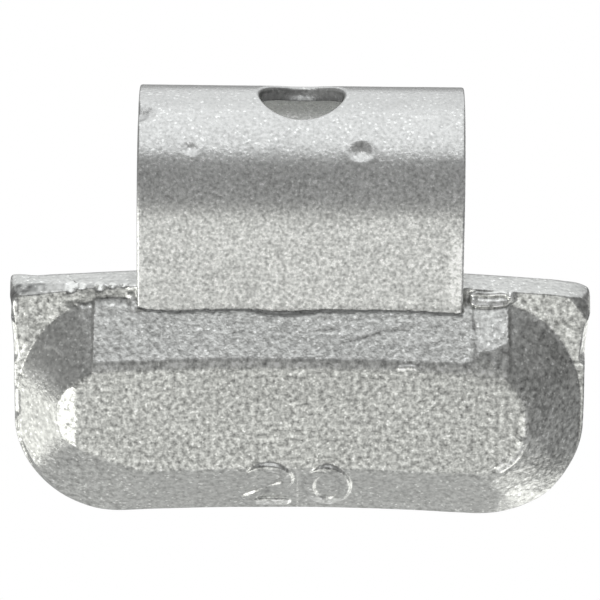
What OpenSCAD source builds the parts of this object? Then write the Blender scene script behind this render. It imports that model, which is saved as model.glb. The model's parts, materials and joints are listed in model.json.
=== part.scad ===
// Clip-on wheel balance weight: a cast zinc body with a spring-steel clip cast into it.
// Frame: X runs along the rim, Y points into the wheel, Z points away from the wheel's centre.
// The origin is the middle of the hook's inner arc, which is where the rim's lip sits.

/* [Clip] */
// Width of the steel strip along the rim
clip_w = 20; // [12:0.5:24]
// Thickness of the strip
strip_t = 0.9; // [0.6:0.05:1.3]
// Inner radius of the hook
hook_r = 5.1; // [4:0.1:7]
// Angle that the hook turns through, from its straight leg over the top
hook_sweep = 212; // [190:1:225]
// Radius of the outward curl at the free end, on its outer side
lip_r = 2.2; // [1.6:0.1:3]
// Angle of the outward curl
lip_sweep = 52; // [20:1:70]
// Radius of the two corners at the free end
lip_corner_r = 1.8; // [0.5:0.1:3]
// Diameter of the hole in the top of the hook
hole_d = 5.2; // [3:0.1:7]
// Distance of the hole in front of the highest line of the hook
hole_forward = 0.1; // [0:0.05:0.6]

/* [Tongue in the casting] */
// Depth of the strip below the top of the body
tongue_l = 9.5; // [7:0.5:11]
// Diameter of the two holes that the metal flows through
key_d = 3; // [2:0.1:4]
// Distance between the two holes
key_pitch = 11; // [7:0.5:12]
// Height of the holes above the end of the tongue
key_h = 3; // [2.5:0.1:4]
// Gap between the strip and the metal cast round it
cast_gap = 0.02; // [0.01:0.01:0.05]

/* [Dents in the clip] */
// Diameter of the dents at the surface
dent_d = 0.8; // [0.4:0.05:1.2]
// Depth of the dents
dent_depth = 0.16; // [0.05:0.01:0.3]
// Height of the dents round the hook, as an angle above its straight leg
dent_angle = 41; // [30:1:60]
// Place of the left dent along the rim
dent_left_x = -6.8; // [-8:0.1:-4]
// Place of the right dent along the rim
dent_right_x = 3.7; // [3.2:0.1:8]

/* [Body outline] */
// Radius of the wheel at the top edge of the body
wheel_r = 200; // [150:5:260]
// Length of the body along the rim, at its top edge
body_w = 36; // [32:0.5:42]
// Height of the body
body_h = 15.2; // [14:0.1:18]
// Lean of the two ends towards the middle
end_taper = 2.5; // [0:0.1:5]
// Radius of the lower corners
low_corner_r = 6.5; // [5:0.1:8]
// Radius of the upper corners on the front of the flange
top_corner_r = 1.3; // [0.8:0.1:1.8]
// Depth over which these corners run out to a sharp corner behind
top_corner_depth = 2.2; // [1:0.1:3]
// Drop from the middle of the hook to the top edge of the body
body_drop = 4.4; // [4.2:0.1:6]

/* [Body depth] */
// Thickness of the flange
flange_t = 3; // [2:0.1:3.2]
// Height of the strip's face over the flange's face
clip_proud = 0.5; // [0.2:0.05:0.8]
// Height of the boss over the flange
boss_rise = 2.9; // [2.2:0.1:3.6]
// Radius of the flange's upper edge at the back
back_edge_r = 0.8; // [0.3:0.1:1.2]

/* [Boss] */
// Flange left bare above the boss
land_top = 0.8; // [0.3:0.05:1.5]
// Flange left bare at the two ends of the boss
land_end = 0.25; // [0.1:0.05:0.8]
// Width of the upper slope, seen from the front
slope_top = 3.65; // [2.6:0.05:3.8]
// Width of the slopes at the two ends, seen from the front
slope_end = 3.2; // [2.4:0.1:3.4]
// Width of the lower slope, seen from the front
slope_low = 3.9; // [3:0.1:4.4]
// Radius of the boss's upper corners
boss_corner_r = 6.3; // [4.8:0.1:6.4]
// Place along the rim where the face starts to fall towards its left end
fall_x = -13.7; // [-14.2:0.1:-13]
// Angle of that fall
fall_angle = 20; // [8:1:24]

/* [Hidden] */
$fn = 96;
// Reach of the cutting shapes past the metal
over = 0.25;
strip_out = hook_r + strip_t;
// Depths in front of the hook's middle
flange_face = strip_out - clip_proud;
boss_face = flange_face + boss_rise;
back_face = flange_face - flange_t;
// Radii about the wheel's axle, and the height of that axle
low_r = wheel_r - body_h;
boss_top_r = wheel_r - land_top;
axle_z = -body_drop - wheel_r;
tongue_end = -body_drop - tongue_l;
// The leg of the clip below the middle of the hook, and its free end
leg_l = -tongue_end;
lip_middle_r = strip_out + lip_r - strip_t;
free_angle = 180 - hook_sweep;
lip_end_z = lip_middle_r * sin(free_angle) + lip_r * sin(free_angle + 180 + lip_sweep);
// Overlap, as an angle, that joins the curl to the hook
seam = 0.5;
dent_r = (pow(dent_d / 2, 2) + pow(dent_depth, 2)) / (2 * dent_depth);
// Facets of a full turn about the wheel's axle
wheel_fn = 720;
// Side of the square that a corner is cut from, in radii of its arc: the rim's curve
// takes the metal a little further out than one radius
corner_reach = 1.5;
// The sector of the wheel that holds the body, with room to spare
sector = 2 * asin(body_w / 2 / wheel_r) + 4;

// A point at a radius from the wheel's axle, on the straight end of the body,
// which leans by end_taper and is moved inwards by inset
function end_line(inset) = let (
        top_z = sqrt(pow(wheel_r, 2) - pow(body_w / 2, 2)),
        out = [cos(end_taper), -sin(end_taper)]
    ) [[body_w / 2, top_z] - inset * out, out];

// Middle of an arc of radius r that touches the inset end line and lies at distance rho
// from the wheel's axle, in the plane of the wheel with the axle at [0, 0]
function corner_middle(r, rho, inset) = let (
        line = end_line(inset),
        along = [-line[1][1], line[1][0]],
        foot = line[0] - r * line[1],
        half = foot * along,
        rest = foot * foot - rho * rho
    ) foot + (-half + sqrt(half * half - rest)) * along;

// Puts a shape made in the plane of the wheel, with its depth upwards, on the frame of the weight
module on_wheel() {
    translate([0, 0, axle_z])
        rotate([90, 0, 0])
            children();
}

// The same shape on the right and, mirrored, on the left
module both_ends() {
    children();
    mirror([1, 0, 0])
        children();
}

// A section given as [radius, depth], swept round the wheel's axle
module ring(points) {
    rotate([0, 0, 90 - sector / 2])
        rotate_extrude(angle = sector, $fn = wheel_fn)
            polygon(points);
}

// What lies past the right end line, inset by a distance, and slopes back by run
// over the boss's height from the flange's face
module past_end(inset, run) {
    line = end_line(inset);
    translate([line[0][0], line[0][1], flange_face])
        rotate([0, 0, -end_taper])
            rotate([0, -atan(run / boss_rise), 0])
                translate([0, -2 * body_h, -body_h])
                    cube([body_h, 3 * body_h, 3 * body_h]);
}

// What lies past a rounded corner of the right end, from a depth low to a depth high.
// The arc's radius is r on the flange's face and shrinks by lean for each unit of depth above it;
// turn is 1 for an upper corner and -1 for a lower one
module past_corner(middle, r, lean, low, high, turn) {
    r_low = r - lean * (low - flange_face);
    side = corner_reach * r_low;
    translate([middle[0], middle[1], low])
        rotate([0, 0, -end_taper])
            difference() {
                translate([0, turn > 0 ? 0 : -side, 0])
                    cube([side, side, high - low]);
                translate([0, 0, -over])
                    cylinder(h = high - low + 2 * over, r1 = r_low + lean * over,
                        r2 = r - lean * (high + over - flange_face));
            }
}

// Flat plate that follows the rim, with its rounded upper back edge
module flange() {
    low = corner_middle(low_corner_r, low_r + low_corner_r, 0);
    top = corner_middle(top_corner_r, wheel_r - top_corner_r, 0);
    difference() {
        ring([[low_r, back_face], [wheel_r, back_face], [wheel_r, flange_face], [low_r, flange_face]]);
        both_ends() {
            past_end(0, 0);
            past_corner(low, low_corner_r, 0, back_face - over, flange_face + over, -1);
            past_corner(top, top_corner_r, (sqrt(2) - 1) * top_corner_r / top_corner_depth,
                flange_face - top_corner_depth, flange_face + over, 1);
        }
        back_edge();
    }
}

// What the rounding takes off the flange's upper back edge
module back_edge() {
    rotate([0, 0, 90 - sector / 2])
        rotate_extrude(angle = sector, $fn = wheel_fn)
            difference() {
                translate([wheel_r - back_edge_r, back_face - over])
                    square([back_edge_r + over, back_edge_r + over]);
                translate([wheel_r - back_edge_r, back_face + back_edge_r])
                    circle(r = back_edge_r);
            }
}

// What lies over the face's fall at its left end
module over_fall() {
    translate([fall_x, low_r, boss_face])
        rotate([0, -fall_angle, 0])
            translate([-body_h, 0, 0])
                cube(body_h);
}

// Raised block with a slope on every side, whose face falls away at its left end
module boss() {
    middle_up = corner_middle(boss_corner_r, boss_top_r - boss_corner_r, land_end);
    lean = slope_end / boss_rise;
    low_r_boss = low_corner_r - land_end;
    middle_low = corner_middle(low_r_boss, low_r + low_r_boss, land_end);
    difference() {
        ring([
            [boss_top_r, flange_face],
            [boss_top_r - slope_top, boss_face],
            [low_r + slope_low, boss_face],
            [low_r, flange_face]
        ]);
        both_ends() {
            past_end(land_end, slope_end);
            past_corner(middle_up, boss_corner_r, lean, flange_face - over, boss_face + over, 1);
            past_corner(middle_low, low_r_boss, lean, flange_face - over, boss_face + over, -1);
        }
        over_fall();
    }
}

// The strip's side view: hook, leg and curled free end, with y forwards as -x
module strip_section(gap) {
    difference() {
        circle(r = strip_out + gap);
        circle(r = hook_r - gap);
        // The open part of the ring, below the leg's top and past the hook's end
        polygon([
            [0, 0],
            [-3 * strip_out, 0],
            [-3 * strip_out, -3 * strip_out],
            [3 * strip_out * cos(free_angle), 3 * strip_out * sin(free_angle)]
        ]);
    }
    translate([-strip_out - gap, -leg_l - gap])
        square([strip_t + 2 * gap, leg_l + gap]);
}

// Outward curl at the free end of the hook
module lip_section() {
    start = free_angle + 180;
    translate([lip_middle_r * cos(free_angle), lip_middle_r * sin(free_angle)])
        intersection() {
            difference() {
                circle(r = lip_r);
                circle(r = lip_r - strip_t);
            }
            polygon([
                [0, 0],
                [2 * lip_r * cos(start - seam), 2 * lip_r * sin(start - seam)],
                [2 * lip_r * cos(start + lip_sweep), 2 * lip_r * sin(start + lip_sweep)]
            ]);
        }
}

// Gives a side view its width along the rim
module along_rim(width) {
    rotate([90, 0, 90])
        translate([0, 0, -width / 2])
            linear_extrude(width)
                children();
}

// The two holes in the tongue, less a gap
module key_holes(gap) {
    for (side = [-1, 1])
        translate([side * key_pitch / 2, -hook_r + over, tongue_end + key_h])
            rotate([90, 0, 0])
                cylinder(h = strip_t + 2 * over, d = key_d - 2 * gap);
}

// What the rounding takes off the corners of the free end
module free_corners() {
    both_ends()
        translate([clip_w / 2 - lip_corner_r, 0, lip_end_z + lip_corner_r])
            difference() {
                translate([0, 0, -lip_corner_r - over])
                    cube([lip_corner_r + over, 2 * strip_out, lip_corner_r + over]);
                rotate([-90, 0, 0])
                    cylinder(h = 2 * strip_out, r = lip_corner_r);
            }
}

// Small dents in the front of the hook
module dents() {
    for (x = [dent_left_x, dent_right_x])
        translate([x, 0, 0])
            rotate([-dent_angle, 0, 0])
                translate([0, -strip_out - dent_r + dent_depth, 0])
                    sphere(r = dent_r);
}

// Spring-steel clip: the hook over the rim's lip and the tongue held by the casting
module clip() {
    color([0.78, 0.79, 0.77])
        difference() {
            along_rim(clip_w) {
                strip_section(0);
                lip_section();
            }
            translate([0, -hole_forward, 0])
                cylinder(h = strip_out + over, d = hole_d);
            key_holes(0);
            free_corners();
            dents();
        }
}

// Cast zinc body: the flange against the rim and the boss, round the tongue of the clip
module weight_body() {
    color([0.70, 0.71, 0.68])
        difference() {
            union() {
                on_wheel() {
                    flange();
                    boss();
                }
            }
            difference() {
                along_rim(clip_w + 2 * cast_gap)
                    strip_section(cast_gap);
                key_holes(cast_gap);
            }
        }
}

weight_body();
clip();
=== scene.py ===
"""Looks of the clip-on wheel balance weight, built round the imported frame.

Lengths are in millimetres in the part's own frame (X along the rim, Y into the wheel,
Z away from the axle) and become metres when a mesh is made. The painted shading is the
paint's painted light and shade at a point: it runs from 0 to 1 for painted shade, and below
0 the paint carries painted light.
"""
import json
import math

import bmesh
import bpy
import numpy as np
from mathutils import Matrix, Vector


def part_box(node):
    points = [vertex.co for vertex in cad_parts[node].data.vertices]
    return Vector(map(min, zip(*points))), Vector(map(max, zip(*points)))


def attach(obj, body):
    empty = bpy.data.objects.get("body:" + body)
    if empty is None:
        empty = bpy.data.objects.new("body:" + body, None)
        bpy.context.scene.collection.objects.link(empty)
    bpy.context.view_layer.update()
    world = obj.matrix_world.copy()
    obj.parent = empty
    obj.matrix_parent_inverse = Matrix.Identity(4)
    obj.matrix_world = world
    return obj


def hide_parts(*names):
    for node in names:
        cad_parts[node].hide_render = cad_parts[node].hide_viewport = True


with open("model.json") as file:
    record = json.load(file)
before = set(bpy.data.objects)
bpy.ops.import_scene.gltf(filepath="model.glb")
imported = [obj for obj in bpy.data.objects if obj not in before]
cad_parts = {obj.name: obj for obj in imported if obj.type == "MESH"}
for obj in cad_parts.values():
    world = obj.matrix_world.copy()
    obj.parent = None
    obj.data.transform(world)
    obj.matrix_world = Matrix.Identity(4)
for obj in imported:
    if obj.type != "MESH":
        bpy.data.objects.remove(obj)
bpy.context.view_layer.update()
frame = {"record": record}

MM = 0.001
SEED = 20
# Points closer than the first are joined, and edges shorter than the second dissolved
JOIN_WITHIN = 0.002
SHORT_EDGE = 0.0005

# The solids' own places, read from the frame
BODY_LOW, BODY_HIGH = (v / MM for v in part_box("weight_body"))
CLIP_LOW, CLIP_HIGH = (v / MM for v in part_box("clip"))
HOOK_R = frame["record"]["mounts"][0]["dims"]["r_mm"]
STRIP_OUT = CLIP_HIGH.z
STRIP_T = STRIP_OUT - HOOK_R
CLIP_W = CLIP_HIGH.x - CLIP_LOW.x
BODY_W = BODY_HIGH.x - BODY_LOW.x
BODY_TOP = BODY_HIGH.z
# Depths are counted forwards, against Y
BOSS_FACE = -BODY_LOW.y
BACK_FACE = -BODY_HIGH.y

# Form of the casting
WHEEL_R = 200.0
BODY_H = 15.2
AXLE_Z = BODY_TOP - WHEEL_R
LOW_R = WHEEL_R - BODY_H
END_TAPER = math.radians(2.5)
LOW_CORNER_R = 6.5
TOP_CORNER_R = 0.9
TOP_CORNER_BACK_R = 0.35
FLANGE_FACE = 5.5
BOSS_RISE = BOSS_FACE - FLANGE_FACE
# Roundings of the front edge and of the back edge, which is sharper round the upper
# corners: it narrows between two places along the rim
EDGE_R = 0.1
BACK_EDGE_R = 0.8
CORNER_EDGE_R = 0.25
EDGE_NARROWS = (15.6, 17.0)
# The ends are drawn in a little half-way down
WAIST = 0.21
WAIST_Z = -8.8
WAIST_REACH = 3.2
# The top edge droops towards its right end: where that starts, how fast it grows, and the
# heights between which it sets in
DROOP_START = 15.6
DROOP = 0.1
DROOP_HEIGHTS = (-9.5, -6.0)

# The boss: its margins on the flange, the runs of its slopes and its round corners
LAND_TOP = 0.8
LAND_END = 0.25
SLOPE_TOP = 3.65
SLOPE_END = 3.2
SLOPE_LOW = 3.9
BOSS_CORNER_R = 6.3
LOW_BOSS_R = LOW_CORNER_R - LAND_END
# Where its face starts to fall towards the left end, how steeply and how softly
FALL_X = -13.7
FALL = math.tan(math.radians(20))
FALL_SOFT = 0.03
# Narrow facet between the upper slope and the face: its fall, the share of the upper
# slope's run that it takes, how much more it takes right of the clip, and where that starts
LEDGE_FALL = math.tan(math.radians(20))
LEDGE_STEEP = 0.3
LEDGE_MORE = 0.45
LEDGE_WIDENS = (10.2, 11.2)
# Upper corners: where each starts, the step there, how far that step takes, the left
# one's share of it, the fall beyond it and the cone's run
CORNER_LEFT = 12.7
CORNER_RIGHT = 12.85
CORNER_STEP = 0.06
STEP_OVER = 0.12
LEFT_STEP = 0.3
CORNER_FALL = 0.36
CORNER_RUN = 3.4
# Steep run of the lower left corner's cone, and the run of the left end
LOW_CORNER_RUN = 1.4
LEFT_END_RUN = 2.92
# Facet between the left end and the lower slope: a point on the face's edge, the way
# it faces, its run, and how softly it meets the end
FACET_POINT = (-13.9, -14.39)
FACET_WAY = math.radians(250)
FACET_RUN = 4.78
FACET_SOFT = 0.5
# How far the lower right corner is mitred rather than rounded, and how soft the mitre is
MITRE_RIGHT = 0.25
MITRE_SOFT = 0.12
# How softly the other slopes meet the upper one, the narrow facet and the lower one
# (shares of the boss's height)
TOP_SOFT = 0.03
LEDGE_SOFT = 0.015
LOW_SOFT = 0.05
# Round right end of the boss's face: its middle, half-width, half-height and fall
FACE_END = (11.0, -12.4)
FACE_END_HALF = (3.12, 3.6)
FACE_END_FALL = 0.75
# How soft the face's edge is, how much more so on the right and along the bottom, and how
# soft the boss's foot is
FACE_SOFT = 0.02
FACE_SOFT_RIGHT = 0.07
FACE_SOFT_LOW = 0.05
FOOT_SOFT = 0.02

# Form of the clip, as lengths along the outer face of its strip
HOOK_SWEEP = math.radians(212)
LIP_R = 2.2
LIP_SWEEP = math.radians(52)
LIP_CORNER_R = 1.8
LEG = -CLIP_LOW.z
HOOK_END = LEG + HOOK_SWEEP * STRIP_OUT
STRIP_END = HOOK_END + LIP_SWEEP * (LIP_R - STRIP_T)
HOLE_R = 2.6
HOLE_Y = -0.1
HOLE_S = LEG + math.pi / 2 * STRIP_OUT
# Roundings of the strip's side edges, outer and inner, and of the hole's rim
SIDE_R = 0.14
INNER_SIDE_R = 0.08
HOLE_EDGE_R = 0.28


def smooth_min(a, b, k):
    """The lesser of two values, rounded where they are within k of each other."""
    h = np.clip(0.5 + 0.5 * (b - a) / k, 0, 1)
    return b + (a - b) * h - k * h * (1 - h)


def smooth_max(a, b, k):
    """The greater of two values, rounded in the same way."""
    return -smooth_min(-a, -b, k)


def ramp(value, low, high):
    """0 below low, 1 above high, and smooth between."""
    t = np.clip((value - low) / (high - low), 0, 1)
    return t * t * (3 - 2 * t)


def fade(value, low, high):
    """1 below low, 0 above high, and smooth between."""
    return 1 - ramp(value, low, high)


def swell(value, middle, half):
    """1 at a middle, falling off softly past a half-width."""
    return np.exp(-(((value - middle) / half) ** 2))


def blot(x, z, middle, half):
    """A soft oval spot, 1 at its middle."""
    return swell(x, middle[0], half[0]) * swell(z, middle[1], half[1])


def rounding(distance, radius):
    """How far a rounded edge falls away at a distance from it."""
    short = np.clip(radius - distance, 0, radius)
    return radius - np.sqrt(radius**2 - short**2)


def bead(distance, radius):
    """Round section of a bead or a groove, 1 on its line and 0 at its radius."""
    return np.sqrt(np.clip(1 - (distance / radius) ** 2, 0, None))


def past_line(x, z, point, way):
    """How far a place lies past a line through a point, in the direction it faces."""
    return (x - point[0]) * math.cos(way) + (z - point[1]) * math.sin(way)


def line_distance(x, z, points):
    """Distance of each place from a line through a few points."""
    best = np.full(np.shape(x), np.inf)
    for (x1, z1), (x2, z2) in zip(points, points[1:]):
        dx, dz = x2 - x1, z2 - z1
        t = np.clip(((x - x1) * dx + (z - z1) * dz) / (dx * dx + dz * dz), 0, 1)
        best = np.minimum(best, np.hypot(x - x1 - t * dx, z - z1 - t * dz))
    return best


def oval(middle, half, start, end, count=28):
    """Points on part of an oval, its angles in degrees."""
    angle = np.radians(np.linspace(start, end, count))
    return [(middle[0] + half[0] * math.cos(a), middle[1] + half[1] * math.sin(a)) for a in angle]


class Noise:
    """Smooth value noise on a repeating lattice, the same on every run."""

    def __init__(self, seed, size=64):
        self.size = size
        self.grid = np.random.default_rng(seed).uniform(-1, 1, (size, size, size))

    def __call__(self, points, pitch):
        q = np.asarray(points) / pitch
        base = np.floor(q).astype(int)
        t = q - base
        t = t * t * (3 - 2 * t)
        total = 0
        for dx in (0, 1):
            for dy in (0, 1):
                for dz in (0, 1):
                    cell = (base + (dx, dy, dz)) % self.size
                    weight = (
                        (t[:, 0] if dx else 1 - t[:, 0])
                        * (t[:, 1] if dy else 1 - t[:, 1])
                        * (t[:, 2] if dz else 1 - t[:, 2])
                    )
                    total = total + weight * self.grid[cell[:, 0], cell[:, 1], cell[:, 2]]
        return total


noise = Noise(SEED)


def on_level(a, b, level):
    """Points with a third coordinate that is the same for all."""
    return np.stack([a, b, np.full_like(a, level)], 1)


def lumps(spots, layers):
    """Layers of noise added up, each with its height, pitch and shift."""
    return sum(height * noise(spots + shift, pitch) for height, pitch, shift in layers)


def make_mesh(name, vertices, faces, painted_shading):
    """A mesh object from points in millimetres, with doubled points joined."""
    mesh = bpy.data.meshes.new(name)
    mesh.from_pydata([tuple(v) for v in np.asarray(vertices) * MM], [], faces)
    layer = mesh.attributes.new("painted_shading", "FLOAT", "POINT")
    layer.data.foreach_set("value", np.clip(painted_shading, -1, 1).astype(np.float32))
    obj = bpy.data.objects.new(name, mesh)
    bpy.context.scene.collection.objects.link(obj)
    work = bmesh.new()
    work.from_mesh(mesh)
    bmesh.ops.remove_doubles(work, verts=work.verts, dist=JOIN_WITHIN * MM)
    bmesh.ops.dissolve_degenerate(work, edges=work.edges, dist=SHORT_EDGE * MM)
    bmesh.ops.recalc_face_normals(work, faces=work.faces)
    work.to_mesh(mesh)
    work.free()
    for polygon in mesh.polygons:
        polygon.use_smooth = True
    return obj


# The casting's outline

TOP_COUNT = 150
CORNER_COUNT = 18
END_COUNT = 56
LOW_CORNER_COUNT = 84
# Place of an outline point along the rim, and of its spoke's inner end
MIDDLE_REACH = ((0.0, 10.5, 17.0), (0.0, 10.5, 11.5))


def waist(z):
    """How far the ends are drawn in at a height."""
    return WAIST * swell(z, WAIST_Z, WAIST_REACH)


def end_line(inset):
    """A point on the straight right end, moved inwards, and the end's outward direction."""
    top = math.sqrt(WHEEL_R**2 - (BODY_W / 2) ** 2)
    out = np.array([math.cos(END_TAPER), -math.sin(END_TAPER)])
    return np.array([BODY_W / 2, top]) - inset * out, out


def corner_middle(radius, rho, inset):
    """Middle of an arc that touches the end line and lies at distance rho from the axle."""
    point, out = end_line(inset)
    along = np.array([-out[1], out[0]])
    foot = point - radius * out
    half = foot @ along
    return foot + (-half + math.sqrt(half**2 - foot @ foot + rho**2)) * along


def arc(middle, radius, start, end, count):
    """Points and outward directions on an arc, its last point left out."""
    angle = np.linspace(start, end, count, endpoint=False)
    way = np.stack([np.cos(angle), np.sin(angle)], 1)
    return middle + radius * way, way


def right_outline(top_r):
    """Right half of the outline, from the top middle round to the bottom middle."""
    top = corner_middle(top_r, WHEEL_R - top_r, 0)
    low = corner_middle(LOW_CORNER_R, LOW_R + LOW_CORNER_R, 0)
    out_angle = -END_TAPER
    top_angle = math.atan2(top[1], top[0])
    low_angle = math.atan2(low[1], low[0])
    parts = [
        arc(np.zeros(2), WHEEL_R, math.pi / 2, top_angle, TOP_COUNT),
        arc(top, top_r, top_angle, out_angle, CORNER_COUNT),
    ]
    out = np.array([math.cos(out_angle), math.sin(out_angle)])
    start, end = top + top_r * out, low + LOW_CORNER_R * out
    share = np.linspace(0, 1, END_COUNT, endpoint=False)[:, None]
    parts.append((start + share * (end - start), np.tile(out, (END_COUNT, 1))))
    parts.append(arc(low, LOW_CORNER_R, out_angle, low_angle - math.pi, LOW_CORNER_COUNT))
    points, way = arc(np.zeros(2), LOW_R, low_angle, math.pi / 2, TOP_COUNT)
    parts.append((points, -way))
    return tuple(np.concatenate(rows) for rows in zip(*parts))


def outline(top_r):
    """Whole outline in the part's frame, clockwise from the top middle, with its directions."""
    points, way = right_outline(top_r)
    bottom = np.array([[0, LOW_R]])
    bottom_way = np.array([[0, -1.0]])
    flip = np.array([-1, 1])
    points = np.concatenate([points, bottom, points[:0:-1] * flip])
    way = np.concatenate([way, bottom_way, way[:0:-1] * flip])
    points = points + (0, AXLE_Z)
    inwards = waist(points[:, 1]) * way[:, 0] * np.abs(way[:, 0])
    droop = DROOP * np.clip(points[:, 0] - DROOP_START, 0, None) ** 2
    points[:, 0] = points[:, 0] - inwards
    points[:, 1] = points[:, 1] - droop * ramp(points[:, 1], *DROOP_HEIGHTS)
    return points, way


def middle_line(front):
    """The inner end of each outline point's spoke, on the body's middle arc."""
    reach = np.interp(np.abs(front[:, 0]), *MIDDLE_REACH)
    x = np.sign(front[:, 0]) * reach
    radius = WHEEL_R - BODY_H / 2
    return np.stack([x, AXLE_Z + np.sqrt(radius**2 - x**2)], 1)


# The boss

def corner_depth(x, w, radius, rho, turn, run_side, run_up):
    """Share of the boss's height on a round corner, whose slope has a run at each side."""
    middle = corner_middle(radius, rho, LAND_END)
    dx, dw = x - middle[0], w - middle[1]
    c, s = math.cos(END_TAPER), math.sin(END_TAPER)
    across, up = dx * c - dw * s, dx * s + dw * c
    inside = (across > 0) & (up * turn > 0)
    far = np.maximum(np.hypot(dx, dw), 1e-6)
    turned = (up / far) ** 2
    run = run_side + (run_up - run_side) * turned
    return np.where(inside, (radius - far) / run, np.inf)


def corner_beyond(x):
    """How far a place lies past the start of its upper corner."""
    return np.abs(x) - np.where(x < 0, CORNER_LEFT, CORNER_RIGHT)


def upper_corners(x, side, w, top, end_run):
    """Upper corners of the boss: a tilted facet of the upper slope, and a cone further out."""
    beyond = corner_beyond(x)
    rho = WHEEL_R - LAND_TOP - BOSS_CORNER_R
    cone = corner_depth(side, w, BOSS_CORNER_R, rho, 1, end_run, CORNER_RUN)
    step = np.where(x < 0, LEFT_STEP, 1) * CORNER_STEP * ramp(beyond, 0, STEP_OVER)
    fall = step + CORNER_FALL * np.clip(beyond, 0, None)
    return np.where(beyond > 0, np.minimum(cone, top - fall / BOSS_RISE), np.inf)


def lower_left_corner(x, z, side, w, end):
    """Lower left corner: a facet that runs softly into the end, and a steep cone."""
    cone = corner_depth(side, w, LOW_BOSS_R, LOW_R + LOW_BOSS_R, -1, LOW_CORNER_RUN, LOW_CORNER_RUN)
    facet = 1 - past_line(x, z, FACET_POINT, FACET_WAY) / FACET_RUN
    return np.minimum(cone, smooth_min(end, facet, FACET_SOFT))


def lower_right_corner(side, w, end, low):
    """Lower right corner: a cone, partly mitred."""
    mitre = smooth_min(end, low, MITRE_SOFT)
    cone = corner_depth(side, w, LOW_BOSS_R, LOW_R + LOW_BOSS_R, -1, SLOPE_END, SLOPE_END)
    cone = np.where(np.isfinite(cone), cone, mitre)
    return cone + MITRE_RIGHT * (mitre - cone)


def boss_height(x, z):
    """Height of the boss over the flange's face, as a share of its rise."""
    w = z - AXLE_Z
    r = np.hypot(x, w)
    side = np.abs(x) + waist(z)
    rim_r = WHEEL_R - LAND_TOP
    top = (rim_r - r) / (SLOPE_TOP - LEDGE_STEEP - LEDGE_MORE * ramp(x, *LEDGE_WIDENS))
    ledge = 1 - (r - rim_r + SLOPE_TOP) * LEDGE_FALL / BOSS_RISE
    low = (r - LOW_R) / SLOPE_LOW
    point, out = end_line(LAND_END)
    end_run = np.where(x < 0, LEFT_END_RUN, SLOPE_END)
    end = -((side - point[0]) * out[0] + (w - point[1]) * out[1]) / end_run
    upper = upper_corners(x, side, w, top, end_run)
    lower = np.where(x < 0, lower_left_corner(x, z, side, w, end), lower_right_corner(side, w, end, low))
    slope = np.minimum(np.minimum(end, upper), lower)
    slope = smooth_min(slope, top, TOP_SOFT)
    slope = smooth_min(slope, ledge, LEDGE_SOFT)
    slope = smooth_min(slope, low, LOW_SOFT)
    far = np.hypot((x - FACE_END[0]) / FACE_END_HALF[0], (z - FACE_END[1]) / FACE_END_HALF[1])
    round_end = 1 + FACE_END_FALL * (1 - far)
    slope = np.where(x > FACE_END[0], np.minimum(slope, round_end), slope)
    soft = FACE_SOFT + FACE_SOFT_RIGHT * ramp(x, 9, 12) + FACE_SOFT_LOW * ramp(-z, 14, 15)
    return smooth_max(smooth_min(slope, 1.0, soft), 0.0, FOOT_SOFT)


# Marks that the mould and wear left on the casting, and the light and shade painted on it

# The raised number on the lower slope, as the middle lines of its strokes
TWO = [*oval((-1.85, -16.6), (1.2, 1.0), 165, -35), (-3.2, -18.55), (-3.1, -18.9), (-0.85, -18.95)]
NOUGHT = oval((1.78, -17.3), (1.13, 1.6), 0, 360)
STROKE_R = 0.42
STROKE_TOP = 0.22
STROKE_RISE = 0.2
# How uneven the strokes are, and the pitch of that
STROKE_UNEVEN = 0.45
STROKE_PITCH = 0.7
# A worn spot and a spot of painted shade on the 2: middle and half-sizes, then how much is worn and the
# painted shade
WORN_STROKE = ((-1.9, -17.8), (0.55, 0.6))
WORN_SHARE = 0.8
SHADED_STROKE_SPOT = ((-2.1, -17.9), (0.5, 0.6))
STROKE_PAINTED_SHADE = 0.35
# The number's foot has a painted highlight: how far down that starts, from which place along
# the rim, and how bright it is
FOOT_LOW = 18.3
FOOT_LEFT = -2.6
FOOT_PAINTED_HIGHLIGHT = 0.9

# Where the casting's upper edge meets the strip: place along the rim, and how far that
# edge lies over the plain line of the slope
CREASE = [
    (-10.2, 0.3), (-9.3, 0.02), (-8.4, -0.08), (-7.5, -0.16), (-6.6, -0.12), (-5.5, -0.08), (-5.3, -0.2),
    (-5.1, -0.08), (-4.2, -0.1), (-3.4, -0.08), (-2.6, -0.2), (-1.6, -0.32), (0.0, -0.3), (1.2, -0.16),
    (3.2, -0.12), (6.0, -0.02), (8.5, -0.04), (10.2, -0.08),
]
CREASE_LUMPS = [(0.03, 0.35, 23)]
# Rounding of that edge, how far down it is drawn, how far the skin lies behind the strip's
# face over it, and how far past the strip's sides it goes
CREASE_EDGE = 0.1
CREASE_REACH = 1.5
BEHIND_STRIP = 0.25
SIDE_GAP = 0.02
# Painted shade in the seam along it
SEAM_PAINTED_SHADE = 0.85

# Cold shuts and seams in the casting: points, radius, depth and painted shade of each groove
GROOVES = [
    ([(2.7, -7.52), (3.6, -7.4), (4.5, -7.17), (5.3, -6.97), (6.5, -6.96)], 0.11, 0.02, 0.35),
    ([(1.0, -6.98), (2.2, -6.94)], 0.09, 0.02, 0.2),
    ([(10.62, -5.8), (10.6, -6.4), (10.66, -6.9)], 0.09, 0.04, 0.55),
    ([(10.26, -4.75), (10.28, -5.3), (10.3, -5.75)], 0.2, 0.12, 0.3),
    (
        [(-14.2, -5.95), (-13.2, -5.88), (-12.5, -5.64), (-11.4, -5.54), (-10.6, -5.64), (-10.35, -5.78)],
        0.26, 0.05, 0.52,
    ),
    ([(10.45, -5.78), (11.4, -5.86), (12.7, -5.78)], 0.13, 0.08, 0.42),
]
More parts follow.
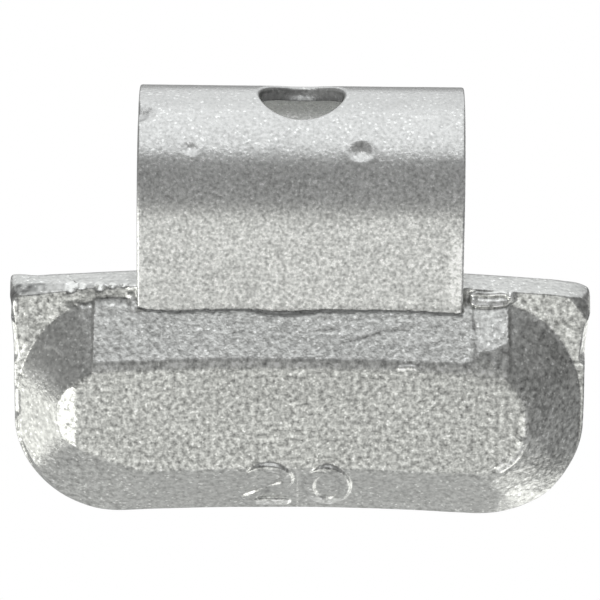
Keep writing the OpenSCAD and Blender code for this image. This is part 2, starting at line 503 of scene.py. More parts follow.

# Beads of flash: points, radius, height and painted highlight of each
FLASH = [
    (
        [(10.62, -5.46), (10.9, -5.56), (11.8, -5.6), (12.6, -5.54), (12.95, -5.34), (12.9, -5.06)],
        0.27, 0.25, 1.0,
    ),
    (
        [(12.9, -5.06), (12.3, -4.98), (11.5, -5.06), (10.9, -5.0), (10.62, -5.1), (10.62, -5.46)],
        0.17, 0.14, 0.85,
    ),
    ([(6.1, -8.76), (6.7, -8.7), (7.05, -8.74)], 0.15, 0.07, 0.8),
    ([(-10.35, -4.85), (-10.15, -4.65)], 0.24, 0.08, 1.0),
    ([(-10.42, -5.35), (-10.3, -5.7), (-10.15, -5.95)], 0.24, 0.08, 1.0),
    ([(-16.7, -8.6), (-17.05, -9.3), (-17.45, -10.1)], 0.18, 0.05, 0.9),
    ([(-17.5, -5.8), (-17.48, -6.6)], 0.2, 0.08, 0.8),
    ([(-15.7, -8.6), (-15.1, -8.4), (-14.6, -8.7)], 0.12, 0.04, 0.6),
    ([(13.85, -11.8), (13.93, -12.9), (13.8, -13.7)], 0.24, 0.06, 0.9),
    ([(13.75, -13.7), (13.45, -14.5), (12.95, -15.1), (12.4, -15.5)], 0.34, 0.1, 1.0),
    ([(-13.7, -5.95), (-13.3, -6.2), (-12.9, -6.0)], 0.12, 0.05, 0.5),
]

# Small scoops in the flange's front upper edge: place along the rim and radius of each,
# then how far their arches are lifted, how steeply they cut and how far up, and the painted
# highlight in them and the painted shade under them
SCOOPS = [(-14.05, 0.4), (-13.35, 0.25), (-12.25, 0.4), (-11.5, 0.27), (-10.8, 0.24)]
SCOOP_LIFT = 0.08
SCOOP_STEEP = 1.7
SCOOP_REACH = 0.3
SCOOP_PAINTED_HIGHLIGHT = 1.1
SCOOP_SHADE = 0.25
# Band of painted shade under them: its left and right ends, how far down it reaches and how dark it is
PAINTED_SHADE_BAND = (-14.8, -10.3, 0.62, 0.22)

# Chamfer that grows towards the left end of the front upper edge: its start, height and
# steepness, and the pitch of its mottled paint
CHAMFER_START = 11.0
CHAMFER_HEIGHT = 0.26
CHAMFER_STEEP = 3.8
MOTTLE_PITCH = 0.32
# Painted shade of the chamfer, how much more it has at the left, the places between which
# that grows, and the height under which a worn edge gets a painted highlight instead
CHAMFER_PAINTED_SHADE = 0.12
CHAMFER_MORE = 0.42
CHAMFER_SHADE_GROWS = (14.9, 16.4)
HIGHLIGHT_BELOW = -6.2
# Worn front edges of the ends: side, lowest and highest place, width and steepness, then
# how far each fades out, and how near the body's end they are
SLANTS = [(1, -9.4, -6.6, 0.36, 2.4), (-1, -9.6, -6.0, 0.26, 1.0), (-1, -13.6, -11.6, 0.4, 0.9)]
SLANT_FADE = 0.3
SLANT_NEAR = (1.4, 0.9)

# Broken upper right corner of the flange: a plane through a line in the face
CHIP_POINT = (16.7, -5.3)
CHIP_WAY = math.radians(35)
CHIP_FALL = 1.25
# Painted shade on the broken face
CHIP_PAINTED_SHADE = 0.35
# Hollow in the upper left corner: its middle, radius and depth
HOLLOW = (-17.6, -4.85)
HOLLOW_R = 0.55
HOLLOW_DEPTH = 0.35

# Painted light on the narrow facet over the face and on a line in the slope above it, and
# where they start and end, as heights over the face's upper edge
FACET_PAINTED_LIGHT = 0.6
FACET_STARTS = (-0.1, 0.1)
FACET_ENDS = (0.28, 0.42)
LINE_PAINTED_LIGHT = 0.25
LINE_LEVEL = 0.65
LINE_HALF = 0.2
# Painted shade makes the face a little darker, and painted light the lower slope's bottom left brighter
FACE_PAINTED_SHADE = 0.05
LOW_LEFT_PAINTED_LIGHT = 0.18
# Painted shade on the upper right corner: how dark it is, how much more at the end, the
# places along the rim between which that grows, and how far down it reaches
RIGHT_PAINTED_SHADE = 0.13
RIGHT_MORE = 0.17
RIGHT_GROWS = (14.5, 16.5)
RIGHT_LOW = -10.5
# Painted shade in lines where the upper corners start, and the left one's share of that
CORNER_PAINTED_SHADE = 0.3
LEFT_SHADE_SHARE = 0.15
# Spots of painted light and painted shade: middle, half-sizes and tone, below 0 for painted light
PAINTED_LIGHT_SPOTS = [
    ((-16.3, -10.5), (1.3, 0.8), -0.9),
    ((14.0, -17.7), (1.2, 0.65), -0.6),
    ((15.5, -15.9), (1.3, 1.2), 0.3),
]
# Painted light on the flange's top
TOP_PAINTED_LIGHT = 0.25

# Fine lumps of the whole front, and those of the flange's face over the boss, where the
# boss has less than this share of its height; that face has painted light on the right
FRONT_LUMPS = [(0.024, 2.3, 0), (0.012, 0.8, 7), (0.008, 0.3, 13)]
LAND_LUMPS = [(0.02, 0.45, 19)]
LAND_SHARE = 0.02
LAND_LOW = -8
LAND_RIGHT = 10
LAND_PAINTED_LIGHT = 0.12


def number(x, z):
    """Height of the raised number, and its painted highlight and shade."""
    strokes = np.minimum(line_distance(x, z, TWO), line_distance(x, z, NOUGHT))
    on_stroke = fade(strokes, STROKE_TOP, STROKE_R)
    uneven = 1 + STROKE_UNEVEN * noise(on_level(x, z, 3.0), STROKE_PITCH)
    worn = 1 - WORN_SHARE * blot(x, z, *WORN_STROKE)
    foot_highlight = FOOT_PAINTED_HIGHLIGHT * ramp(-z, FOOT_LOW, FOOT_LOW + 0.3) * (x > FOOT_LEFT)
    dull_shade = STROKE_PAINTED_SHADE * blot(x, z, *SHADED_STROKE_SPOT)
    return STROKE_RISE * worn * uneven * on_stroke, on_stroke * (dull_shade - foot_highlight)


def seams_and_flash(x, z):
    """What grooves and beads of flash add to the casting's depth, the painted shade in the grooves and the
    painted highlight on the flash.
    """
    total = np.zeros_like(x)
    painted_shading = np.zeros_like(x)
    for points, radius, deep, groove_shade in GROOVES:
        far = line_distance(x, z, points)
        total = total - deep * bead(far, radius)
        painted_shading = np.maximum(painted_shading, groove_shade * fade(far, 0.4 * radius, 1.2 * radius))
    for points, radius, high, flash_highlight in FLASH:
        top = bead(line_distance(x, z, points), radius)
        total = total + high * top
        painted_shading = painted_shading - flash_highlight * top
    return total, painted_shading


def scoops(x, z):
    """What the scoops in the front upper edge add to the depth, and the painted highlight and shade round
    them.
    """
    total = np.zeros_like(x)
    edge = AXLE_Z + np.sqrt(WHEEL_R**2 - x**2)
    left, right, reach, dull_shade = PAINTED_SHADE_BAND
    shade_band = ramp(x, left, left + 0.6) * fade(x, right - 0.2, right)
    painted_shading = dull_shade * shade_band * ramp(z - edge + reach, 0, 0.1)
    for place, radius in SCOOPS:
        arch = np.sqrt(np.clip(radius**2 - (x - place) ** 2, 0, None))
        above = z - (edge + SCOOP_LIFT - arch)
        cut = SCOOP_STEEP * np.clip(above, 0, SCOOP_REACH)
        total = total - cut * ramp(arch / radius, 0.1, 0.85)
        under = ramp(above, -0.14, -0.04) * fade(above, -0.04, 0.0)
        light_and_shade = SCOOP_SHADE * under - SCOOP_PAINTED_HIGHLIGHT * ramp(above, 0, 0.06)
        painted_shading = painted_shading + light_and_shade * (arch > 0.3 * radius)
    return total, painted_shading


def facet_painted_shading(x, z, share):
    """Painted light and shade of the casting's facets, corners and spots."""
    level = np.hypot(x, z - AXLE_Z) - (WHEEL_R - LAND_TOP - SLOPE_TOP)
    # Painted light on the narrow facet and on a line in the slope above it
    facet = ramp(level, *FACET_STARTS) * fade(level, *FACET_ENDS)
    line = swell(level, LINE_LEVEL, LINE_HALF)
    painted_shading = -(FACET_PAINTED_LIGHT * facet + LINE_PAINTED_LIGHT * line) * (np.abs(x) < CORNER_LEFT)
    # Painted shade on the face, and painted light on the lower slope's bottom left
    painted_shading = painted_shading + FACE_PAINTED_SHADE * ramp(share, 0.97, 1.0)
    low_left_light = ramp(-x, 8.0, 12.0) * ramp(-z, 15.5, 16.5) * ramp(share, 0, 0.2)
    painted_shading = painted_shading - LOW_LEFT_PAINTED_LIGHT * low_left_light
    # Painted shade in lines where the upper corners start, and over the upper right corner
    beyond = corner_beyond(x)
    on_slope = ramp(share, 0, 0.3) * ramp(1 - share, 0, 0.15) * ramp(z, -13.5, -9.5)
    line = fade(np.abs(beyond - 0.06), 0.04, 0.16)
    painted_shading = painted_shading + np.where(x < 0, LEFT_SHADE_SHARE, 1) * CORNER_PAINTED_SHADE * line * on_slope
    right_corner_shade = RIGHT_PAINTED_SHADE + RIGHT_MORE * ramp(x, *RIGHT_GROWS)
    right_corner_shade = right_corner_shade * ramp(beyond, 0, 0.1) * (x > 0) * (z > RIGHT_LOW)
    painted_shading = painted_shading + right_corner_shade * ramp(share, 0, 0.1)
    # Spots of painted light and painted shade
    for middle, half, light_and_shade in PAINTED_LIGHT_SPOTS:
        painted_shading = painted_shading + light_and_shade * blot(x, z, middle, half)
    return painted_shading


def breaks(x, z):
    """What the broken corner and the hollow add to the casting's depth, and the painted shade on the
    break.
    """
    past = past_line(x, z, CHIP_POINT, CHIP_WAY)
    hollow = np.clip(1 - (np.hypot(x - HOLLOW[0], z - HOLLOW[1]) / HOLLOW_R) ** 2, 0, None)
    total = -CHIP_FALL * np.clip(past, 0, None) - HOLLOW_DEPTH * hollow
    return total, CHIP_PAINTED_SHADE * ramp(past, 0, 0.05)


def cast_edge(x, z, depth, painted_shading):
    """Wavy edge in front of the strip, where the casting starts and stands over its face."""
    line = AXLE_Z + np.sqrt((WHEEL_R - LAND_TOP) ** 2 - x**2)
    line = line - (STRIP_OUT - FLANGE_FACE) * SLOPE_TOP / BOSS_RISE
    line = line + np.interp(x, *zip(*CREASE)) + lumps(on_level(x, z, 0.0), CREASE_LUMPS)
    below = line - z
    edge = STRIP_OUT + CREASE_EDGE * bead(np.clip(CREASE_EDGE - below, 0, None), CREASE_EDGE)
    under = np.where(below > 0, np.maximum(depth, edge), STRIP_OUT - BEHIND_STRIP)
    near = (np.abs(x) < CLIP_W / 2 + SIDE_GAP) & (below < CREASE_REACH)
    # Painted shade in the seam where the casting meets the strip
    seam_shade = SEAM_PAINTED_SHADE * fade(np.abs(below - 0.01), 0.06, 0.18)
    return np.where(near, under, depth), np.where(near, np.maximum(painted_shading, seam_shade), painted_shading)


def face_depth(points):
    """Depth of the casting's front at points of the front view, and the painted light and shade there."""
    x, z = points[:, 0], points[:, 1]
    share = boss_height(x, z)
    depth = FLANGE_FACE + BOSS_RISE * share
    fall = BOSS_FACE - (FALL_X - x) * FALL
    depth = np.where(x < FALL_X, smooth_min(depth, fall, FALL_SOFT), depth)
    painted_shading = facet_painted_shading(x, z, share)
    for added, light_and_shade in (number(x, z), seams_and_flash(x, z), scoops(x, z), breaks(x, z)):
        depth = depth + added
        painted_shading = painted_shading + light_and_shade
    land = (share < LAND_SHARE) & (z > LAND_LOW)
    spots = on_level(x, z, 0.0)
    depth = depth + lumps(spots, FRONT_LUMPS) + land * lumps(spots, LAND_LUMPS)
    # Painted light on the flange's face right of the clip
    painted_shading = painted_shading - LAND_PAINTED_LIGHT * land * (x > LAND_RIGHT)
    return cast_edge(x, z, depth, painted_shading)


def edge_slant(front, inward):
    """How much the worn front edge of each end falls away."""
    x, z = front[:, 0], front[:, 1]
    chamfer = CHAMFER_HEIGHT * ramp(-x, CHAMFER_START, BODY_W / 2 - 1) * (z > -7)
    total = CHAMFER_STEEP * np.clip(chamfer - inward, 0, None)
    for side, low, high, width, steep in SLANTS:
        share = ramp(z, low - SLANT_FADE, low + SLANT_FADE) * fade(z, high - SLANT_FADE, high + SLANT_FADE)
        share = share * ramp(x * side, *(BODY_W / 2 - near for near in SLANT_NEAR))
        total = total + steep * np.clip(width * share - inward, 0, None)
    return total


# The casting's skin

# Distances from the edge of the front face's rows: single ones at the edge, then a fine
# and a coarse pitch, each up to where the next starts
EDGE_ROWS = [0, 0.02, 0.045, 0.075, 0.11, 0.16]
FINE_START = 0.22
FINE_PITCH = 0.068
COARSE_START = 4.7
COARSE_PITCH = 0.22
# Rows of the edge, of its rounding and of the back
SIDE_ROWS = 10
ROUND_ROWS = 8
BACK_ROWS = 4
# Unevenness of the edge: height and pitch
SIDE_LUMP = 0.02
SIDE_PITCH = 1.7


def skin_row(flat, depth):
    """One row of the skin, from its points in the front view and their depth."""
    return np.stack([flat[:, 0], -depth, flat[:, 1]], 1)


def front_rows(front, way, middle):
    """Rows of the front face from the middle out to the edge, their painted light and shade, and the
    edge's depth.
    """
    rows, painted_shading_rows = [], []
    fine = np.arange(FINE_START, COARSE_START, FINE_PITCH)
    coarse = np.arange(COARSE_START, BODY_H / 2, COARSE_PITCH)
    share = np.append(np.concatenate([EDGE_ROWS, fine, coarse]) / (BODY_H / 2), 1)
    for t in share[::-1]:
        flat = front + t * (middle - front)
        inward = np.clip(-np.sum((flat - front) * way, 1), 0, None)
        depth, painted_shading = face_depth(flat)
        slant = edge_slant(front, inward)
        depth = depth - rounding(inward, EDGE_R) - slant
        # Worn edges get a painted highlight, and the upper edge's left end a mottled painted shade
        mottle = noise(np.stack([flat[:, 0], flat[:, 1], depth], 1), MOTTLE_PITCH)
        dull_shade = CHAMFER_PAINTED_SHADE + CHAMFER_MORE * ramp(-flat[:, 0], *CHAMFER_SHADE_GROWS)
        light_and_shade = np.where(flat[:, 1] < HIGHLIGHT_BELOW, 1, -dull_shade * (1 + 1.1 * mottle))
        worn = ramp(slant * (1 + 0.22 * mottle), 0.0, 0.1)
        rows.append(skin_row(flat, depth))
        painted_shading_rows.append(painted_shading - worn * light_and_shade)
    return rows, painted_shading_rows, depth


def side_rows(front, way, middle, start):
    """Rows from the front edge's depth round the back edge to the middle of the flat back."""
    rows = []
    top_share = np.clip(way[:, 1], 0, 1) ** 0.5
    # The back edge's rounding is small round the corners, where a wide one would fold over
    narrow = ramp(np.abs(front[:, 0]), *EDGE_NARROWS)
    wide_r = BACK_EDGE_R - (BACK_EDGE_R - CORNER_EDGE_R) * narrow
    back_r = EDGE_R + (wide_r - EDGE_R) * top_share
    for t in np.linspace(0, 1, SIDE_ROWS)[1:]:
        depth = start + t * (BACK_FACE + back_r - start)
        corner_r = TOP_CORNER_R + min(1.6 * t, 1) * (TOP_CORNER_BACK_R - TOP_CORNER_R)
        ring = outline(corner_r)[0]
        lump = SIDE_LUMP * noise(np.stack([ring[:, 0], depth, ring[:, 1]], 1), SIDE_PITCH)
        ring = ring + way * lump[:, None] * min(t * 4, 1)
        rows.append(skin_row(ring, depth))
    for angle in np.linspace(0, math.pi / 2, ROUND_ROWS)[1:]:
        edge = ring - way * (back_r * (1 - math.cos(angle)))[:, None]
        rows.append(skin_row(edge, BACK_FACE + back_r * (1 - math.sin(angle))))
    for t in np.linspace(0, 1, BACK_ROWS)[1:]:
        rows.append(skin_row(edge + t * (middle - edge), np.full(len(edge), BACK_FACE)))
    return rows


def side_painted_shading(front, way):
    """Painted light on the flange's top, more on its left corner, and painted shade on its right one."""
    x, z = front[:, 0], front[:, 1]
    top_share = np.clip(way[:, 1], 0, 1) ** 0.5
    left_corner_highlight = ramp(-x, 17.0, 17.3) * ramp(-z, 6.2, 6.8) * fade(-z, 8.6, 9.0)
    right_end_shade = ramp(x, 17.2, 17.5) * fade(-z, 6.4, 6.9)
    return 0.45 * right_end_shade - 0.9 * left_corner_highlight - TOP_PAINTED_LIGHT * top_share * (1 - right_end_shade)


def build_casting():
    """The casting as one closed skin: front, edge and back."""
    front, way = outline(TOP_CORNER_R)
    middle = middle_line(front)
    count = len(front)
    rows, painted_shading_rows, edge_depth = front_rows(front, way, middle)
    sides = side_rows(front, way, middle, edge_depth)
    rows += sides
    painted_shading_rows += [side_painted_shading(front, way)] * len(sides)
    faces = []
    for start in range(0, count * (len(rows) - 1), count):
        for i in range(count):
            j = (i + 1) % count
            faces.append((start + i, start + j, start + count + j, start + count + i))
    return make_mesh("cast_body_skin", np.concatenate(rows), faces, np.concatenate(painted_shading_rows))


# The clip

# Dents: place along the rim, angle round the hook, radius and depth; the last is a nick in
# the left edge
DENTS = [(-6.75, 41.5, 0.42, 0.07), (3.65, 41.0, 0.6, 0.19), (-10.0, 66.5, 0.85, 0.28)]
DENT_STRETCH = 1.2
# Rim that a dent pushed up: its height as a share of the depth, and its place in radii
DENT_RIM = 0.18
DENT_RIM_AT = 1.25
# The nick's place along the rim, angle round the hook, and half-sizes
NICK = (-10.05, 66.5, 0.62, 0.73)
CLIP_LUMPS = [(0.008, 2.6, 31), (0.004, 0.6, 41)]
# Painted shade on the hole's inner rim, how wide that is, and painted light on the strip's inner face
RIM_PAINTED_SHADE = 0.6
RIM_REACH = 0.12
INNER_PAINTED_LIGHT = -0.9
# Bands of painted light and shade over the bend: angle round the hook, half-width and tone, below 0 for
# painted light
BEND_PAINTED_LIGHT = [(0.3, 0.13, -0.16), (0.04, 0.08, 0.13)]
# Painted shade on the strip's foot: how far below the body's top its middle lies, and how dark it is
FOOT_BELOW = 1.6
FOOT_PAINTED_SHADE = 0.2

# Half-side of the square of finer mesh round the hole, its columns and its rings, and the
# distances of the first rings as shares of the way from the hole to the square
HOLE_HALF = 4.2
HOLE_COLUMNS = 65
HOLE_RINGS = 16
NEAR_RINGS = [0, 0.015, 0.035, 0.06, 0.09, 0.13, 0.18]
# Distances of the columns next to the strip's side edges, and of the rows at its free end
SIDE_COLUMNS = [0, 0.02, 0.05, 0.09, 0.14, 0.2, 0.3]
# The leg is hidden in the casting up to this far below its top
HIDDEN_TOP = 6.6
SIDE_COUNT = 40
HIDDEN_COUNT = 8
LEG_COUNT = 80
BACK_COUNT = 70


def strip_point(s, inward):
    """Place in the side view (Y, Z) of a point s along the strip's outer face, inward into it."""
    s = np.asarray(s, float)
    inward = np.broadcast_to(np.asarray(inward, float), s.shape)
    angle = np.clip((s - LEG) / STRIP_OUT, 0, HOOK_SWEEP)
    radius = STRIP_OUT - inward
    y = -radius * np.cos(angle)
    z = radius * np.sin(angle) + np.minimum(s - LEG, 0)
    over = np.clip((s - HOOK_END) / (LIP_R - STRIP_T), 0, None)
    free = math.pi - HOOK_SWEEP
    middle = (STRIP_OUT + LIP_R - STRIP_T) * np.array([math.cos(free), math.sin(free)])
    turned = free + math.pi + over
    lip_radius = LIP_R - STRIP_T + inward
    past = over > 0
    y = np.where(past, middle[0] + lip_radius * np.cos(turned), y)
    z = np.where(past, middle[1] + lip_radius * np.sin(turned), z)
    return y, z


def grid_lines():
    """Columns across the strip, rows along it, and the columns of the square round the hole."""
    edge = np.array(SIDE_COLUMNS)
    inner = np.linspace(-HOLE_HALF, HOLE_HALF, HOLE_COLUMNS)
    side = np.linspace(-CLIP_W / 2 + edge[-1], -HOLE_HALF, SIDE_COUNT)[1:-1]
    left = np.concatenate([-CLIP_W / 2 + edge, side])
    hidden = np.linspace(0, LEG - HIDDEN_TOP, HIDDEN_COUNT)[:-1]
    leg = np.linspace(LEG - HIDDEN_TOP, HOLE_S - HOLE_HALF, LEG_COUNT)[:-1]
    back = np.linspace(HOLE_S + HOLE_HALF, STRIP_END - edge[-1], BACK_COUNT)[1:]
    across = np.concatenate([left, inner, -left[::-1]])
    along = np.concatenate([hidden, leg, HOLE_S + inner, back, STRIP_END - edge[-2::-1]])
    return across, along, inner


def hole_rings(inner):
    """Rings of points from the square's edge in to the hole, about the hole's middle."""
    square = [(x, -HOLE_HALF) for x in inner[:-1]] + [(HOLE_HALF, x) for x in inner[:-1]]
    square += [(-x, HOLE_HALF) for x in inner[:-1]] + [(-HOLE_HALF, -x) for x in inner[:-1]]
    square = np.array(square)
    angle = np.arctan2(square[:, 1], square[:, 0])
    # The hole is round seen from above, so it is a little longer along the strip
    hole_x = HOLE_R * np.cos(angle)
    hole_y = np.clip(HOLE_R * np.sin(angle) + HOLE_Y, -STRIP_OUT, STRIP_OUT)
    hole = np.stack([hole_x, STRIP_OUT * np.arcsin(hole_y / STRIP_OUT)], 1)
    share = np.concatenate([NEAR_RINGS, np.linspace(NEAR_RINGS[-1], 1, HOLE_RINGS)[1:]])
    return [hole + t * (square - hole) for t in share[::-1]]


def strip_grid():
    """Points (x, s) and quads of the strip laid flat, and the points of its hole's rim."""
    xs, ss, inner = grid_lines()
    points, faces, index = [], [], {}

    def add(x, s):
        key = (round(float(x), 5), round(float(s), 5))
        if key not in index:
            index[key] = len(points)
            points.append((float(x), float(s)))
        return index[key]

    tiny = 1e-6
    for x1, x2 in zip(xs, xs[1:]):
        for s1, s2 in zip(ss, ss[1:]):
            inside_x = x1 > -HOLE_HALF - tiny and x2 < HOLE_HALF + tiny
            inside_s = s1 > HOLE_S - HOLE_HALF - tiny and s2 < HOLE_S + HOLE_HALF + tiny
            if not (inside_x and inside_s):
                faces.append((add(x1, s1), add(x2, s1), add(x2, s2), add(x1, s2)))
    rings = [[add(x, HOLE_S + s) for x, s in ring] for ring in hole_rings(inner)]
    for outer, ring in zip(rings, rings[1:]):
        for i in range(len(ring)):
            j = (i + 1) % len(ring)
            faces.append((outer[i], outer[j], ring[j], ring[i]))
    return np.array(points), faces, np.array(rings[-1])


def dents(x, s):
    """Depth of the two small dents and of the nick in the left edge."""
    total = np.zeros_like(x)
    for place, angle, radius, depth in DENTS:
        along = s - (LEG + math.radians(angle) * STRIP_OUT)
        q = np.hypot((x - place) / DENT_STRETCH, along) / radius
        total = total + depth * np.exp(-(q**2) * 2.2)
        total = total - DENT_RIM * depth * np.exp(-((q - DENT_RIM_AT) ** 2) * 9)
    return total


def clip_painted_shading(x, s, to_hole):
    """Painted light and shade of the strip's outer face at points of the strip laid flat."""
    rise = s - LEG
    angle = rise / STRIP_OUT
    from_foot = np.abs(rise - BODY_TOP + FOOT_BELOW)
    painted_shading = FOOT_PAINTED_SHADE * fade(from_foot, 0.1, 0.8)
    # Painted light on the leg, and painted shade on the top of the hook
    painted_shading = painted_shading - 0.2 * fade(angle, -0.1, 0.25) + 0.07 * ramp(angle, 1.1, 1.4)
    for middle, half, light_and_shade in BEND_PAINTED_LIGHT:
        painted_shading = painted_shading + light_and_shade * swell(angle, middle, half)
    # Painted shade in the nick in the left edge, darker in an outline on its lower side
    place, nick_angle, across, along = NICK
    up = rise - math.radians(nick_angle) * STRIP_OUT
    q = np.hypot((x - place) / across, up / along)
    painted_shading = painted_shading + 0.13 * fade(q, 0.75, 1.0) + 0.42 * swell(q, 1, 0.17) * fade(up, 0.0, 0.5)
    # Painted highlights on the edges: all down the left, and in patches on the right
    patchy_highlight = ramp(noise(on_level(x * 0.4, s, 5.0), 0.9), -0.5, 0.1)
    painted_shading = painted_shading - 0.5 * ramp(-x, 9.72, 9.86) * ramp(rise, -5.0, -4.0) * fade(rise, 1.6, 2.6)
    painted_shading = painted_shading - ramp(x, 9.0, 9.25) * patchy_highlight * ramp(rise, -5.6, -5.2) * fade(rise, -0.8, -0.2)
    # Painted shade on the rim at the left of the hole
    return painted_shading + 0.5 * fade(to_hole, 0.0, 0.08) * fade(x, -0.8, 0.6)


def build_clip():
    """The strip as a closed skin: outer face, inner face and the cut edges between them."""
    flat, faces, rim = strip_grid()
    x, s = flat[:, 0], flat[:, 1]
    # Round the two corners of the free end by pulling the sides in
    up = np.clip(s - (STRIP_END - LIP_CORNER_R), 0, LIP_CORNER_R)
    half = CLIP_W / 2 - LIP_CORNER_R + np.sqrt(LIP_CORNER_R**2 - up**2)
    x = x * half / (CLIP_W / 2)
    # Distances to the nearest cut edges, the hole's taken as seen from above
    hole_y = STRIP_OUT * np.sin((s - HOLE_S) / STRIP_OUT) - HOLE_Y
    to_hole = np.where(np.abs(s - HOLE_S) < HOLE_HALF, np.hypot(x, hole_y) - HOLE_R, np.inf)
    to_side = np.minimum(half - np.abs(x), STRIP_END - s)
    drop = np.maximum(rounding(to_side, SIDE_R), rounding(to_hole, HOLE_EDGE_R))
    outer = drop - lumps(on_level(x, s, 0.0), CLIP_LUMPS) + dents(x, s)
    y1, z1 = strip_point(s, outer)
    y2, z2 = strip_point(s, STRIP_T - rounding(to_side, INNER_SIDE_R))
    # The hole's wall is upright, so the inner rim keeps the outer rim's place in Y
    y2[rim] = y1[rim]
    z2[rim] = np.sqrt(HOOK_R**2 - y1[rim] ** 2)
    count = len(flat)
    vertices = np.concatenate([np.stack([x, y1, z1], 1), np.stack([x, y2, z2], 1)])
    all_faces = faces + [tuple(i + count for i in reversed(f)) for f in faces]
    # An edge that only one quad of the outer face has is a cut edge, and gets a wall
    used = dict.fromkeys((a, b) for f in faces for a, b in zip(f, f[1:] + f[:1]))
    all_faces += [(b, a, a + count, b + count) for a, b in used if (b, a) not in used]
    # Painted shade at the hole's inner rim, and painted light over the rest of the inner face
    inner_painted_shading = np.where(to_hole < RIM_REACH, RIM_PAINTED_SHADE, INNER_PAINTED_LIGHT)
    painted_shading = np.concatenate([clip_painted_shading(x, s, to_hole), inner_painted_shading])
    return make_mesh("clip_skin", vertices, all_faces, painted_shading)


# Materials

# Each paint's colour, then the size and strength of its grain, the height of its bumps, its
# roughness and how much brighter its flakes are; lengths are in millimetres
CAST_PAINT = dict(
    colour=(0.545, 0.55, 0.535), grain_mm=0.3, shade=1.5, bump_mm=0.036, rough=0.33, spark=1.5
)
CLIP_PAINT = dict(
    colour=(0.60, 0.605, 0.595), grain_mm=0.22, shade=0.98, bump_mm=0.018, rough=0.3, spark=1.35
)
METALLIC = 0.9
# Size of a bright flake, and the scale of the large blotches per metre
FLAKE_MM = 0.13
BLOTCH_SCALE = 240


class Nodes:
    """Short way to add and join a material's nodes."""

    def __init__(self, name):
        self.material = bpy.data.materials.new(name)
        self.material.use_nodes = True
        self.tree = self.material.node_tree
        self.shader = self.tree.nodes["Principled BSDF"]

    def add(self, kind, inputs=None, **settings):
        node = self.tree.nodes.new(kind)
        for key, value in settings.items():
            setattr(node, key, value)
        for key, value in (inputs or {}).items():
            if isinstance(value, bpy.types.NodeSocket):
                self.tree.links.new(value, node.inputs[key])
            else:
                node.inputs[key].default_value = value
        return node

    def link(self, socket, name):
        self.tree.links.new(socket, self.shader.inputs[name])

    def place(self):
        return self.add("ShaderNodeTexCoord").outputs["Object"]

    def noise(self, scale, detail, rough):
        inputs = {"Vector": self.place(), "Scale": scale, "Detail": detail, "Roughness": rough}
        return self.add("ShaderNodeTexNoise", inputs).outputs["Fac"]

    def cells(self, scale):
        node = self.add("ShaderNodeTexVoronoi", {"Vector": self.place(), "Scale": scale})
        return self.add("ShaderNodeSeparateColor", {"Color": node.outputs["Color"]}).outputs["Red"]

    def math(self, kind, a, b):
        return self.add("ShaderNodeMath", {0: a, 1: b}, operation=kind).outputs[0]

    def times(self, value, *factors):
        for factor in factors:
            value = self.math("MULTIPLY", value, factor)
        return value

    def spread(self, value, low, high, to_low, to_high):
        inputs = {0: value, 1: low, 2: high, 3: to_low, 4: to_high}
        return self.add("ShaderNodeMapRange", inputs).outputs[0]


def flake_paint(name, colour, grain_mm, shade, bump_mm, rough, spark):
    """Silver-grey paint with a fine bright grain, a few flakes that catch the light, and painted light and
    shade.
    """
    n = Nodes(name)
    grain = n.noise(1 / (grain_mm * MM), 2.0, 0.6)
    blotch = n.noise(BLOTCH_SCALE, 3.0, 0.5)
    # Painted light in the grain: it is weaker on faces that look up, far down, or to the left or right
    facing = n.add("ShaderNodeTexCoord").outputs["Normal"]
    split = n.add("ShaderNodeSeparateXYZ", {0: facing}).outputs
    amount = n.times(
        n.spread(split["Z"], 0.3, 0.95, 1.0, 0.3),
        n.spread(split["Z"], -0.6, -0.2, 0.45, 1.0),
        n.spread(split["X"], -0.6, -0.3, 0.45 * shade, shade),
        n.spread(split["X"], 0.3, 0.6, 1.0, 0.85),
    )
    # The paint's tone: grain, blotches, bright flakes, then painted shade and painted light
    light = n.math("POWER", n.times(grain, 2.0), amount)
    painted_shading = n.add("ShaderNodeAttribute", attribute_name="painted_shading").outputs["Fac"]
    light = n.times(
        light,
        n.spread(blotch, 0.3, 0.7, 0.96, 1.04),
        n.spread(n.cells(1 / (FLAKE_MM * MM)), 0.955, 0.965, 1.0, spark),
        n.spread(painted_shading, 0.0, 1.0, 1.0, 0.16),
        n.spread(painted_shading, -1.0, 0.0, 1.5, 1.0),
    )
    mix = n.add("ShaderNodeVectorMath", {0: colour, "Scale": light}, operation="SCALE")
    n.link(mix.outputs[0], "Base Color")
    n.shader.inputs["Metallic"].default_value = METALLIC
    n.link(n.spread(grain, 0.3, 0.7, rough + 0.04, rough - 0.04), "Roughness")
    bumps = n.add("ShaderNodeBump", {"Strength": 1.0, "Distance": bump_mm * MM, "Height": grain})
    n.link(bumps.outputs[0], "Normal")
    return n.material


def floor_material():
    """White floor that shows plain white to the camera and in reflections."""
    n = Nodes("floor_white")
    n.shader.inputs["Base Color"].default_value = (0.8, 0.8, 0.8, 1)
    n.shader.inputs["Roughness"].default_value = 0.9
    glow = n.add("ShaderNodeEmission", {"Color": (1, 1, 1, 1), "Strength": 1.0})
    path = n.add("ShaderNodeLightPath")
    inputs = {0: path.outputs["Is Camera Ray"], 1: n.shader.outputs[0], 2: glow.outputs[0]}
    mix = n.add("ShaderNodeMixShader", inputs)
    n.tree.links.new(mix.outputs[0], n.tree.nodes["Material Output"].inputs["Surface"])
    return n.material


# Light, camera and floor

# Brightness of the even surround
SURROUND = 0.34

COOL = (0.97, 0.985, 1.0)
WARM = (1.0, 1.0, 0.955)

